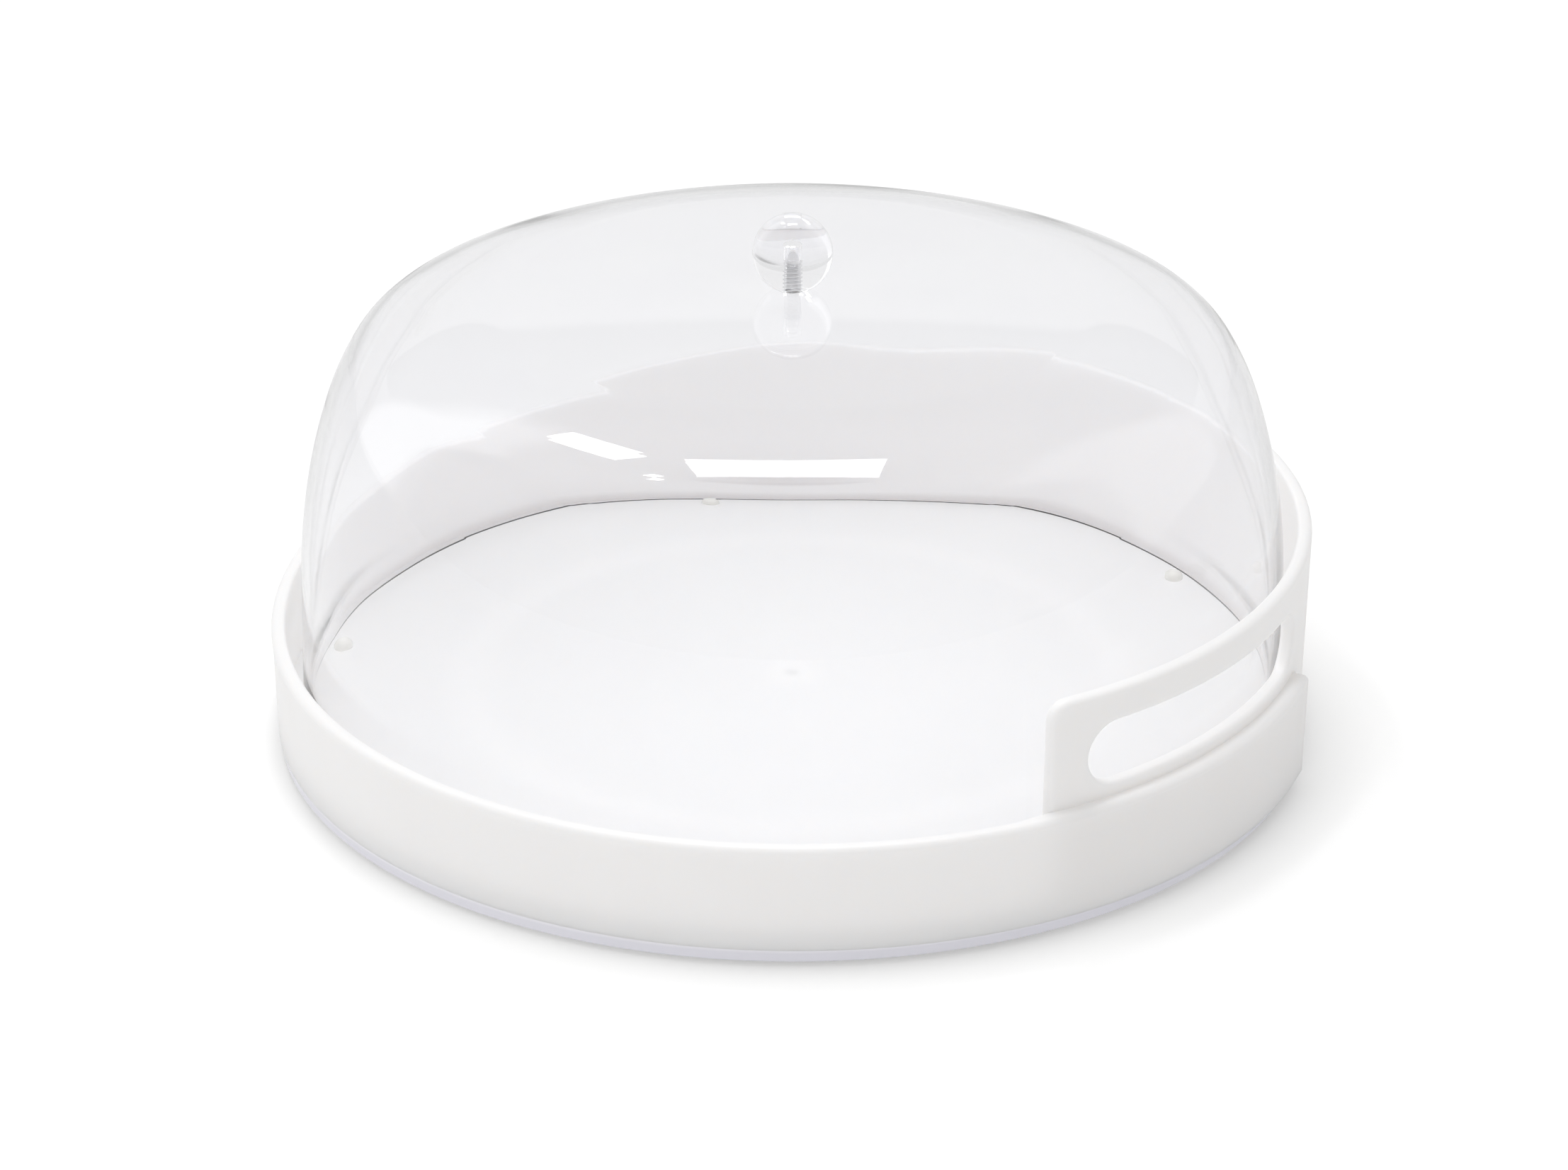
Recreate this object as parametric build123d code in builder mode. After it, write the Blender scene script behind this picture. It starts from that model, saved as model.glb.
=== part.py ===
"""Covered lazy susan: a clear base, a ball race, a spiral-walled tray and a clear dome.

Millimetres, +Z up. The origin is on the table, under the middle of the base.
Angles are in degrees about +Z, from +X, and the front of the tray faces -Y.
"""

import os
from math import cos, pi, radians, sin, sqrt, tan

from build123d import *

# Clear base dish
base_radius = 164.5
base_plate = 2.6
base_rim_height = 4.2
base_rim_width = 3.0
base_edge_chamfer = 0.6

# Rubber feet, let into the underside of the base
foot_gap = 0.8
foot_radius = 6.0
foot_count = 4
foot_inset = 16.5
foot_first_angle = 45.0
foot_recess = 1.0
foot_side_clearance = 0.1

# Ball race
race_radius = 105.0
race_width = 10.0
race_depth = 1.4
race_bed = 0.4
ball_radius = 3.0
ball_count = 12
ball_sides = 8
ball_bands = 6
ball_clearance = 0.12
cage_width = 9.0
cage_thickness = 2.0
pocket_clearance = 0.15

# Centre pivot: a spigot under the tray, held down by a washer and a screw
pivot_radius = 5.0
pivot_clearance = 0.06
pivot_hub_radius = 14.0
pivot_hub_rise = 3.4
pivot_ledge = 2.4
pivot_pocket_radius = 9.0
pivot_end_play = 0.2
washer_radius = 7.8
washer_thickness = 0.8
washer_hole_clearance = 0.15
screw_radius = 1.75
screw_length = 7.0
screw_head_radius = 4.2
screw_head_height = 1.8
screw_head_chamfer = 0.6
screw_hole_spare = 0.6
tray_boss_radius = 9.0
tray_boss_gap = 0.4

# Tray floor and its spiral wall
floor_thickness = 3.0
wall_thickness = 4.5
wall_gap = 0.5
wall_start_radius = 167.6
wall_start_angle = -18.0
wall_overlap = 45.0
wall_foot_gap = 0.6
wall_draft = 0.7
wall_sections = 19
rim_low = 33.2
rim_high = 67.4
rim_round = 1.7
rim_round_facets = 3
ramp_start = 132.0
ramp_length = 195.0
start_corner_round = 3.0
end_corner_round = 6.0

# Grip slot in the inner, high end of the wall
slot_length = 108.0
slot_height = 20.0
slot_angle = -39.0
slot_above_low_rim = 4.0

# Soft bumpers on the floor that centre the dome
bumper_radius = 3.2
bumper_height = 2.8
bumper_taper = 25.0
bumper_count = 5
bumper_first_angle = 173.0
bumper_to_dome = 1.4

# Clear dome: a drafted side, four tangent arcs and a shallow crown
dome_side_gap = 0.575
dome_wall = 2.6
dome_side_height = 44.0
dome_side_draft = 2.0
dome_arcs = [
    (180.0, 19.1),
    (77.0, 32.2),
    (23.5, 64.9),
    (92.0, 87.5),
]
dome_cut_spare = 5.0
foot_band_height = 9.0
foot_band_extra = 0.5

# Ball knob on its threaded stud
knob_radius = 12.5
knob_seat_radius = 4.5
stud_radius = 2.0
stud_clearance = 0.03
stud_reach = 10.5
stud_chamfer = 0.4
knob_hole_depth = 13.5
knob_hole_tip_angle = 59.0

# Levels, from the table up
base_bottom = foot_gap
base_top = base_bottom + base_plate
base_rim_top = base_bottom + base_rim_height
ball_reach = ball_radius + ball_clearance
ball_level = base_top + race_bed + ball_reach
base_race_top = ball_level - ball_reach + race_depth
tray_race_bottom = ball_level + ball_reach - race_depth
floor_bottom = ball_level + ball_reach + race_bed
floor_top = floor_bottom + floor_thickness
hub_top = base_top + pivot_hub_rise
pocket_top = hub_top - pivot_ledge
spigot_end = pocket_top - pivot_end_play
washer_bottom = spigot_end - washer_thickness
tray_boss_bottom = hub_top + tray_boss_gap
wall_foot = base_rim_top + wall_foot_gap
slot_level = wall_foot + rim_low + slot_above_low_rim + slot_height / 2

wall_pitch = wall_thickness + wall_gap
full_turn = 360.0
wall_turn = full_turn + wall_overlap
wall_end_radius = wall_start_radius - wall_pitch * wall_turn / full_turn - wall_thickness
dome_radius = wall_end_radius - dome_side_gap
foot_circle = base_radius - foot_inset
bumper_circle = dome_radius - dome_wall - foot_band_extra - bumper_to_dome - bumper_radius


def spiral_radius(turn):
    """Radius of the wall's outer face at its foot, a turn in degrees along the wall."""
    return wall_start_radius - wall_pitch * turn / full_turn


def rim_height(turn):
    """Height of the wall above its foot: low, then a smooth ramp, then high."""
    ramp = min(max((turn - ramp_start) / ramp_length, 0.0), 1.0)
    return rim_low + (rim_high - rim_low) * (1.0 - cos(pi * ramp)) / 2.0


def wall_angle(turn):
    """Angle about +Z: the wall winds clockwise from its low outer end."""
    return radians(wall_start_angle - turn)


def across_wall(turn):
    """Upright plane across the wall: local X is the radius, local Y is the height."""
    a = wall_angle(turn)
    return Plane(origin=(0, 0, 0), x_dir=(cos(a), sin(a), 0), z_dir=(sin(a), -cos(a), 0))


def along_wall(turn, level):
    """Plane in the middle of the wall, facing out: local X runs back along the wall, local Y up."""
    a = wall_angle(turn)
    r = spiral_radius(turn) - wall_thickness / 2
    middle = (r * cos(a), r * sin(a), level)
    return Plane(origin=middle, x_dir=(-sin(a), cos(a), 0), z_dir=(cos(a), sin(a), 0))


def wall_section(turn):
    """Outline of the wall on the plane across it, with a rounded rim made of short facets."""
    outer = spiral_radius(turn)
    inner = outer - wall_thickness
    top = wall_foot + rim_height(turn)
    lean = rim_height(turn) * tan(radians(wall_draft))
    steps = [radians(90.0 * i / rim_round_facets) for i in range(rim_round_facets + 1)]
    rise = [(rim_round * (1.0 - cos(s)), rim_round * (1.0 - sin(s))) for s in steps]
    outer_round = [(outer + lean - dx, top - dz) for dx, dz in rise]
    inner_round = [(inner + lean + dx, top - dz) for dx, dz in reversed(rise)]
    return [(inner, wall_foot), (outer, wall_foot)] + outer_round + inner_round


# Base dish: plate, rim, lower race and pivot hub in one clear moulding
with BuildPart() as base_dish:
    with BuildSketch(Plane.XY.offset(base_bottom)):
        Circle(base_radius)
    extrude(amount=base_plate)
    with BuildSketch(Plane.XY.offset(base_bottom)):
        Circle(base_radius)
        Circle(base_radius - base_rim_width, mode=Mode.SUBTRACT)
    extrude(amount=base_rim_height)
    rim_edges = base_dish.edges().filter_by(GeomType.CIRCLE).sort_by(SortBy.RADIUS)[-2:]
    chamfer(rim_edges, base_edge_chamfer)
    with BuildSketch(Plane.XY.offset(base_top)):
        Circle(race_radius + race_width / 2)
        Circle(race_radius - race_width / 2, mode=Mode.SUBTRACT)
    extrude(amount=base_race_top - base_top)
    with BuildSketch(Plane.XY.offset(base_top)):
        Circle(pivot_hub_radius)
    extrude(amount=pivot_hub_rise)
    with BuildSketch(Plane.XZ):
        with Locations((race_radius, ball_level)):
            RegularPolygon(ball_reach, 8, major_radius=False, rotation=22.5)
    revolve(axis=Axis.Z, mode=Mode.SUBTRACT)
    with BuildSketch(Plane.XY.offset(base_bottom)):
        Circle(pivot_pocket_radius)
    extrude(amount=pocket_top - base_bottom, mode=Mode.SUBTRACT)
    with BuildSketch(Plane.XY.offset(base_bottom)):
        Circle(pivot_radius + pivot_clearance)
    extrude(amount=hub_top - base_bottom, mode=Mode.SUBTRACT)
    with BuildSketch(Plane.XY.offset(base_bottom)):
        with PolarLocations(foot_circle, foot_count, start_angle=foot_first_angle):
            Circle(foot_radius + foot_side_clearance)
    extrude(amount=foot_recess, mode=Mode.SUBTRACT)

# Feet: pads in the recesses, standing proud of the base
with BuildPart() as rubber_feet:
    with BuildSketch():
        with PolarLocations(foot_circle, foot_count, start_angle=foot_first_angle):
            Circle(foot_radius)
    extrude(amount=foot_gap + foot_recess)

# Ball cage: a flat ring with a pocket for each ball
with BuildPart() as ball_cage:
    with BuildSketch(Plane.XY.offset(ball_level - cage_thickness / 2)):
        Circle(race_radius + cage_width / 2)
        Circle(race_radius - cage_width / 2, mode=Mode.SUBTRACT)
        with PolarLocations(race_radius, ball_count):
            RegularPolygon(ball_radius + pocket_clearance, 8, major_radius=False, mode=Mode.SUBTRACT)
    extrude(amount=cage_thickness)

# Balls: bands of flat faces from pole to pole, one ball copied round the race
with BuildPart() as bearing_ball:
    for i in range(ball_bands + 1):
        polar = pi * (i + 0.25) / (ball_bands + 0.5)
        with BuildSketch(Plane.XY.offset(-ball_radius * cos(polar))):
            RegularPolygon(ball_radius * sin(polar), ball_sides)
    loft(ruled=True)
with BuildPart() as bearing_balls:
    with Locations(Location((0, 0, ball_level))):
        with PolarLocations(race_radius, ball_count):
            add(bearing_ball.part)

# Tray: floor, spiral wall, upper race and pivot spigot in one moulding
with BuildPart() as tray:
    for i in range(wall_sections):
        turn = wall_turn * i / (wall_sections - 1)
        with BuildSketch(across_wall(turn)):
            with BuildLine():
                Polyline(*wall_section(turn), close=True)
            make_face()
    loft()
    low_end = along_wall(0, wall_foot + rim_low)
    with BuildSketch(low_end):
        with Locations((-start_corner_round / 2, -start_corner_round / 2)):
            Rectangle(start_corner_round, start_corner_round)
        with Locations((-start_corner_round, -start_corner_round)):
            Circle(start_corner_round, mode=Mode.SUBTRACT)
    extrude(amount=wall_thickness, both=True, mode=Mode.SUBTRACT)
    high_end = along_wall(wall_turn, wall_foot + rim_high)
    with BuildSketch(high_end):
        with Locations((end_corner_round / 2, -end_corner_round / 2)):
            Rectangle(end_corner_round, end_corner_round)
        with Locations((end_corner_round, -end_corner_round)):
            Circle(end_corner_round, mode=Mode.SUBTRACT)
    extrude(amount=wall_thickness, both=True, mode=Mode.SUBTRACT)
    with BuildSketch(along_wall(wall_start_angle - slot_angle + full_turn, slot_level)):
        SlotOverall(slot_length, slot_height)
    extrude(amount=slot_height + wall_thickness, both=True, mode=Mode.SUBTRACT)
    edge_turns = [full_turn * i / (wall_sections - 1) for i in range(wall_sections)]
    edge_radii = [spiral_radius(t) - wall_thickness / 2 for t in edge_turns]
    floor_edge = [(r * cos(wall_angle(t)), r * sin(wall_angle(t))) for t, r in zip(edge_turns, edge_radii)]
    with BuildSketch(Plane.XY.offset(floor_bottom)):
        with BuildLine():
            Spline(*floor_edge)
            Line(floor_edge[-1], floor_edge[0])
        make_face()
    extrude(amount=floor_thickness)
    with BuildSketch(Plane.XY.offset(tray_race_bottom)):
        Circle(race_radius + race_width / 2)
        Circle(race_radius - race_width / 2, mode=Mode.SUBTRACT)
    extrude(amount=floor_bottom - tray_race_bottom)
    with BuildSketch(Plane.XZ):
        with Locations((race_radius, ball_level)):
            RegularPolygon(ball_reach, 8, major_radius=False, rotation=22.5)
    revolve(axis=Axis.Z, mode=Mode.SUBTRACT)
    with BuildSketch(Plane.XY.offset(tray_boss_bottom)):
        Circle(tray_boss_radius)
    extrude(amount=floor_bottom - tray_boss_bottom)
    with BuildSketch(Plane.XY.offset(spigot_end)):
        Circle(pivot_radius)
    extrude(amount=tray_boss_bottom - spigot_end)
    with BuildSketch(Plane.XY.offset(spigot_end)):
        Circle(screw_radius)
    extrude(amount=screw_length + screw_hole_spare, mode=Mode.SUBTRACT)

with BuildPart() as pivot_washer:
    with BuildSketch(Plane.XY.offset(washer_bottom)):
        Circle(washer_radius)
        Circle(screw_radius + washer_hole_clearance, mode=Mode.SUBTRACT)
    extrude(amount=washer_thickness)

# Pivot screw: a pan head under the washer and a shank up into the spigot
with BuildPart() as pivot_screw:
    with BuildSketch(Plane.XY.offset(washer_bottom)):
        Circle(screw_radius)
    extrude(amount=washer_thickness + screw_length)
    with BuildSketch(Plane.XY.offset(washer_bottom - screw_head_height)):
        Circle(screw_head_radius)
    extrude(amount=screw_head_height)
    chamfer(pivot_screw.faces().sort_by(Axis.Z)[0].edges(), screw_head_chamfer)

# Bumpers: soft tapered studs on the floor, just inside the dome's foot
with BuildPart() as floor_bumpers:
    with BuildSketch(Plane.XY.offset(floor_top)):
        with PolarLocations(bumper_circle, bumper_count, start_angle=bumper_first_angle):
            Circle(bumper_radius)
    extrude(amount=bumper_height, taper=bumper_taper)


def dome_inside(height):
    """Radius of the inside of the dome's drafted side, a height above its foot."""
    lean = radians(dome_side_draft)
    return dome_radius - dome_wall / cos(lean) - height * tan(lean)


def draw_dome_outline(inset, below):
    """Draw the dome's profile, an inset in from its outside, and give the height of its crown."""
    lean = radians(dome_side_draft)
    r = dome_radius - inset / cos(lean)
    foot = (r + below * tan(lean), floor_top - below)
    side_top = (r - dome_side_height * tan(lean), floor_top + dome_side_height)
    side = Line(foot, side_top)
    at, tangent, slope = side @ 1, side % 1, dome_side_draft
    for radius, end_slope in dome_arcs:
        arc = JernArc(at, tangent, radius - inset, end_slope - slope)
        at, tangent, slope = arc @ 1, arc % 1, end_slope
    crown = JernArc(at, tangent, at.X / cos(radians(slope)), 90.0 - slope)
    level = (crown @ 1).Y
    Polyline(crown @ 1, (0, floor_top - below), foot)
    return level


# Dome: the outside and the inside are the same profile, a wall apart, with a thicker band at the foot
with BuildPart() as dome:
    with BuildSketch(Plane.XZ):
        with BuildLine():
            dome_top = draw_dome_outline(0, 0)
        make_face()
    revolve(axis=Axis.Z)
    with BuildSketch(Plane.XZ):
        with BuildLine():
            draw_dome_outline(dome_wall, dome_cut_spare)
        make_face()
    revolve(axis=Axis.Z, mode=Mode.SUBTRACT)
    band_top = foot_band_height - foot_band_extra
    with BuildSketch(Plane.XZ):
        with BuildLine():
            Polyline(
                (dome_inside(0) + dome_wall / 2, floor_top),
                (dome_inside(0) - foot_band_extra, floor_top),
                (dome_inside(band_top) - foot_band_extra, floor_top + band_top),
                (dome_inside(foot_band_height), floor_top + foot_band_height),
                (dome_inside(foot_band_height) + dome_wall / 2, floor_top + foot_band_height),
                close=True,
            )
        make_face()
    revolve(axis=Axis.Z)
    with BuildSketch(Plane.XY.offset(dome_top - 2 * dome_wall)):
        Circle(stud_radius + stud_clearance)
    extrude(amount=3 * dome_wall, mode=Mode.SUBTRACT)

# Stud: cemented through the crown, up into the knob
with BuildPart() as knob_stud:
    with BuildSketch(Plane.XY.offset(dome_top - dome_wall)):
        Circle(stud_radius)
    extrude(amount=dome_wall + stud_reach)
    chamfer(knob_stud.edges().filter_by(GeomType.CIRCLE), stud_chamfer)

# Knob: a ball with a flat seat and a drilled hole that ends in a cone
knob_level = dome_top + sqrt(knob_radius**2 - knob_seat_radius**2)
knob_hole_radius = stud_radius + stud_clearance
with BuildPart() as knob:
    with Locations((0, 0, knob_level)):
        Sphere(knob_radius)
    split(bisect_by=Plane.XY.offset(dome_top), keep=Keep.TOP)
    with BuildSketch(Plane.XZ):
        with BuildLine():
            Polyline(
                (0, dome_top),
                (knob_hole_radius, dome_top),
                (knob_hole_radius, dome_top + knob_hole_depth),
                (0, dome_top + knob_hole_depth + knob_hole_radius / tan(radians(knob_hole_tip_angle))),
                close=True,
            )
        make_face()
    revolve(axis=Axis.Z, mode=Mode.SUBTRACT)

pieces = {
    "base_dish": base_dish,
    "rubber_feet": rubber_feet,
    "ball_cage": ball_cage,
    "bearing_balls": bearing_balls,
    "tray": tray,
    "pivot_washer": pivot_washer,
    "pivot_screw": pivot_screw,
    "floor_bumpers": floor_bumpers,
    "dome": dome,
    "knob_stud": knob_stud,
    "knob": knob,
}
os.makedirs("parts", exist_ok=True)
for name, piece in pieces.items():
    piece.part.label = name
    export_step(piece.part, f"parts/{name}.step")
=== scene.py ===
"""Covered lazy susan: the finished look of every piece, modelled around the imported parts.

Metres, +Z up, the front of the tray towards -Y. Each operator makes one piece, or one group of like
pieces, in the place of the solid that it stands for.
"""

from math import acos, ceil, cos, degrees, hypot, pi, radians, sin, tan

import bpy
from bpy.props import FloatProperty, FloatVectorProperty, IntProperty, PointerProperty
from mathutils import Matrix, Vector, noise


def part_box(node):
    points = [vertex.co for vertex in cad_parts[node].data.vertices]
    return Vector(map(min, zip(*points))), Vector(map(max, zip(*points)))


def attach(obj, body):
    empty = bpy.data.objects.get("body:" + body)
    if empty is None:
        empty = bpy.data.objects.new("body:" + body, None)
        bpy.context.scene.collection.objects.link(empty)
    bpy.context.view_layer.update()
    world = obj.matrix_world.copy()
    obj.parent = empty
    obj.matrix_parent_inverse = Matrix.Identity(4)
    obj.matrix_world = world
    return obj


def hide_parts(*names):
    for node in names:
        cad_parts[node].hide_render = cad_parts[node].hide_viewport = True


bl_info = {
    "name": "Covered lazy susan",
    "version": (1, 0, 0),
    "blender": (4, 5, 0),
    "location": "View3D > Sidebar > Turntable",
    "description": "Models a spiral-walled tray that turns on a clear base, under a clear dome",
    "category": "Add Mesh",
}

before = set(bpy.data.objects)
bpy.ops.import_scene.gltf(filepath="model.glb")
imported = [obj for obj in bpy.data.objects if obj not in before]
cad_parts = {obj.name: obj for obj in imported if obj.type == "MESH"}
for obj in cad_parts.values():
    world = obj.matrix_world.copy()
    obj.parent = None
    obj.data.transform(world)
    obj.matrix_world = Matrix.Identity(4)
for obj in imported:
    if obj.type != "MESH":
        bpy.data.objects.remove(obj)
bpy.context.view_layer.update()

tray_low, tray_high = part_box("tray")
dome_low, dome_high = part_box("dome")
knob_low, knob_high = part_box("knob")
stud_low, stud_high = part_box("knob_stud")
base_low, base_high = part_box("base_dish")
bumper_low, bumper_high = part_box("floor_bumpers")
feet_low, feet_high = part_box("rubber_feet")
cage_low, cage_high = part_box("ball_cage")
ball_low, ball_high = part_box("bearing_balls")
washer_low, washer_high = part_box("pivot_washer")
screw_low, screw_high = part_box("pivot_screw")

FULL_TURN = 360.0
TINY = 1e-6
NEAR = TINY * 100
SIDEBAR_TAB = "Turntable"
CLEAR_FINISHES = "clear acrylic", "clear silicone", "clear base"
WHITE = (1.0, 1.0, 1.0)

# Level of the tray wall's lower edge
WALL_FOOT = 0.0056
# Height of the step under the rim's bead
BEAD_STEP = 0.00006
# Plastic: refraction, the range that its noise covers, and the depth of its grain and of its ripples
ACRYLIC_IOR = 1.49
NOISE_RANGE = 0.35, 0.65
GRAIN_DEPTH, RIPPLE_DEPTH = 0.0002, 0.001

# Screens that glass and metal mirror: an axis of the sky, where the screen is dark and where it is bright
BACKDROP_EDGES = ("Y", 0.0, 0.25), ("Z", 0.40, 0.375)
LEFT_EDGES = ("X", -0.18, -0.34), ("Z", 0.84, 0.74), ("Y", 0.15, 0.35), ("Y", 0.75, 0.60)
RIGHT_EDGES = ("X", 0.30, 0.48), ("Z", 0.90, 0.82), ("Y", -0.25, 0.0), ("Y", 0.70, 0.50)
# Heights in the sky between which its mirrored glow and its even light change
GLOW_FADE = 0.42, 0.62
FILL_FADE = 0.0, 0.8

# Lamps: name, place, target, size, power, and whether the camera, glass and metal show it
LAMP_TARGET = (0.0, 0.0, 0.06)
LAMPS = (
    ("strip light", (-0.01, 0.34, 1.13), LAMP_TARGET, (0.36, 0.15), 1.3, True),
    ("side strip light", (-0.37, 0.55, 1.13), LAMP_TARGET, (0.10, 0.20), 0.6, True),
    ("spot light", (-0.29, 0.21, 1.13), LAMP_TARGET, (0.05, 0.03), 0.1, True),
    ("tray light", (-0.16, -0.15, 0.62), (-0.09, -0.05, 0.0), (0.30, 0.25), 0.38, False),
    ("wall light", (0.06, -0.05, 0.22), (-0.14, 0.05, 0.03), (0.20, 0.06), 0.12, False),
)
SENSOR_WIDTH = 36.0


def length(name, description, default):
    """A length in metres that a user may change."""
    return FloatProperty(
        name=name, description=description, default=default, subtype="DISTANCE", unit="LENGTH"
    )


def angle(name, description, default):
    """An angle that a user may change, given here in degrees."""
    return FloatProperty(name=name, description=description, default=radians(default), subtype="ANGLE")


def tint(name, description, default):
    """A colour that a user may change."""
    return FloatVectorProperty(name=name, description=description, default=default, subtype="COLOR", size=3)


def number(name, description, default):
    """A plain number, such as a light's strength, that a user may change."""
    return FloatProperty(name=name, description=description, default=default)


class TraySizes(bpy.types.PropertyGroup):
    """Sizes of the tray's floor and its spiral wall."""

    wall_thickness: length("Wall", "Thickness of the wall", 0.0045)
    wall_pitch: length("Pitch", "How far the spiral draws in over one turn", 0.005)
    wall_start_radius: length("Outer end", "Radius of the wall's outer face at its low outer end", 0.1676)
    wall_start_angle: angle("Outer end angle", "Where the low outer end stands", -18.0)
    wall_overlap: angle("Overlap", "How far the high end runs on inside the low end", 45.0)
    wall_foot: length("Foot", "Level of the wall's lower edge", WALL_FOOT)
    wall_draft: angle("Draft", "Lean of the wall's faces", 0.7)
    rim_low: length("Low rim", "Height of the wall at its low end", 0.0332)
    rim_high: length("High rim", "Height of the wall at its high end", tray_high.z - WALL_FOOT)
    rim_band: length("Rim band", "Depth below the rim that keeps its shape where the wall climbs", 0.008)
    rim_round: length("Rim rounding", "Radius of the rim's outer edge and of the wall's ends", 0.002)
    rim_inner_round: length("Inner rim rounding", "Radius of the rim's inner edge", 0.001)
    bead_depth: length("Bead depth", "Depth of the rounded bead along the rim", 0.0028)
    bead_bulge: length("Bead bulge", "How far the bead stands out of the wall", 0.0003)
    ramp_start: angle("Ramp start", "Turn along the wall where the rim starts to climb", 132.0)
    ramp_length: angle("Ramp length", "Turn over which the rim climbs", 195.0)
    low_corner: length("Low corner", "Radius of the corner at the low end", 0.003)
    high_corner: length("High corner", "Radius of the corner at the high end", 0.006)
    seam_bite: length("Seam bite", "How far the low end runs into the high end", 0.0002)
    slot_length: length("Slot length", "Length of the grip slot", 0.108)
    slot_height: length("Slot height", "Height of the grip slot", 0.020)
    slot_angle: angle("Slot angle", "Where the middle of the grip slot stands", -39.0)
    slot_level: length("Slot level", "Level of the middle of the grip slot", 0.0528)
    slot_round: length("Slot rounding", "Radius of the slot's edges", 0.0013)
    floor_thickness: length("Floor", "Thickness of the floor", 0.003)
    race_radius: length("Race", "Radius of the ball race", 0.105)
    race_width: length("Race width", "Width of the race's ring", 0.010)
    race_depth: length("Race depth", "How far the ring reaches round the balls", 0.0014)
    race_clearance: length("Race clearance", "Gap between a ball and its groove", 0.00012)
    boss_radius: length("Boss", "Radius of the boss round the pivot", 0.009)
    boss_bottom: length("Boss end", "Level of the boss's end", 0.0072)
    spigot_radius: length("Spigot", "Radius of the pivot spigot", 0.005)
    screw_hole_radius: length("Screw hole", "Radius of the hole for the pivot screw", 0.00175)
    screw_hole_top: length("Screw hole top", "Level where the screw's hole ends", 0.0118)
    columns: IntProperty(name="Columns", description="Steps along the wall", default=216, min=24)


class DomeSizes(bpy.types.PropertyGroup):
    """Sizes of the clear dome, its knob and its stud."""

    wall: length("Wall", "Thickness of the dome", 0.0026)
    side_height: length("Side height", "Height of the straight drafted side", 0.044)
    side_draft: angle("Side draft", "Lean of the straight side", 2.0)
    flank_radius: length("Flank", "Radius of the arc above the side", 0.180)
    flank_end: angle("Flank end", "Slope from upright where that arc ends", 19.1)
    haunch_radius: length("Haunch", "Radius of the arc below the shoulder", 0.077)
    haunch_end: angle("Haunch end", "Slope from upright where that arc ends", 32.2)
    shoulder_radius: length("Shoulder", "Radius of the shoulder", 0.0235)
    shoulder_end: angle("Shoulder end", "Slope from upright where the shoulder ends", 64.9)
    brow_radius: length("Brow", "Radius of the arc from the shoulder to the crown", 0.092)
    brow_end: angle("Brow end", "Slope from upright where the crown starts", 87.5)
    band_height: length("Foot band", "Height of the thicker band at the foot", 0.009)
    # Height of the painted shade at the dome's foot, which stands in for the shaded gap between the foot and
    # the tray wall
    foot_shade_height: length("Foot edge", "Height of the edge that looks deeper at the foot", 0.007)
    band_extra: length("Foot band extra", "How much thicker the foot band is", 0.0003)
    band_step: length("Foot band step", "Height over which the band thins out into the wall", 0.0015)
    foot_round: length("Foot rounding", "Radius of the foot's edges", 0.0006)
    ripple: length("Ripple", "How far the moulded inside wanders from an even wall", 0.00007)
    ripple_size: length("Ripple size", "Size of the moulded ripples", 0.04)
    arc_step: angle("Arc step", "Turn between two rows of the dome", 1.5)
    stud_clearance: length("Stud clearance", "Glue gap round the stud", 0.00003)
    thread_pitch: length("Thread pitch", "Pitch of the stud's thread", 0.0008)
    thread_depth: length("Thread depth", "Depth of the stud's thread", 0.00038)
    knob_seat_radius: length("Knob seat", "Radius of the knob's flat seat", 0.0045)
    knob_hole_depth: length("Knob hole", "Depth of the knob's drilled hole", 0.0135)
    knob_tip_angle: angle("Drill point", "Half angle of the hole's cone", 59.0)
    steps: IntProperty(name="Steps", description="Steps round the dome", default=224, min=24)


class BaseSizes(bpy.types.PropertyGroup):
    """Sizes of the clear base, its feet and the bearing."""

    plate: length("Plate", "Thickness of the base's plate", 0.0026)
    rim_height: length("Rim", "Height of the base's rim", 0.0042)
    rim_width: length("Rim width", "Width of the base's rim", 0.003)
    edge_round: length("Edge rounding", "Radius of the base's outer edges", 0.0007)
    race_depth: length("Race depth", "How far the lower ring reaches round the balls", 0.0014)
    hub_radius: length("Hub", "Radius of the pivot hub", 0.014)
    hub_bore: length("Hub bore", "Radius of the hub's bore", 0.00506)
    pocket_radius: length("Pocket", "Radius of the washer's pocket", 0.009)
    pocket_top: length("Pocket top", "Level of the pocket's roof", 0.0044)
    foot_clearance: length("Foot clearance", "Gap round a foot in its recess", 0.0001)
    foot_recess: length("Foot recess", "Depth of a foot's recess", 0.001)
    ball_radius: length("Ball", "Radius of a bearing ball", 0.003)
    cage_pocket_gap: length("Cage pocket gap", "Gap round a ball in the cage", 0.00015)
    cage_width: length("Cage width", "Width of the cage's ring", 0.009)
    small_round: length("Small rounding", "Radius of the edges of small pieces", 0.0003)
    screw_radius: length("Screw", "Radius of the screw's shank", 0.00175)
    washer_gap: length("Washer gap", "Gap round the screw in its washer", 0.0002)
    screw_head_height: length("Screw head", "Height of the screw's head", 0.0018)
    cross_width: length("Cross width", "Width of the drive cross's arms", 0.0009)
    cross_reach: length("Cross reach", "Reach of the drive cross's arms", 0.0022)
    cross_depth: length("Cross depth", "Depth of the drive cross", 0.0011)
    steps: IntProperty(name="Steps", description="Steps round the base", default=224, min=24)


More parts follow.
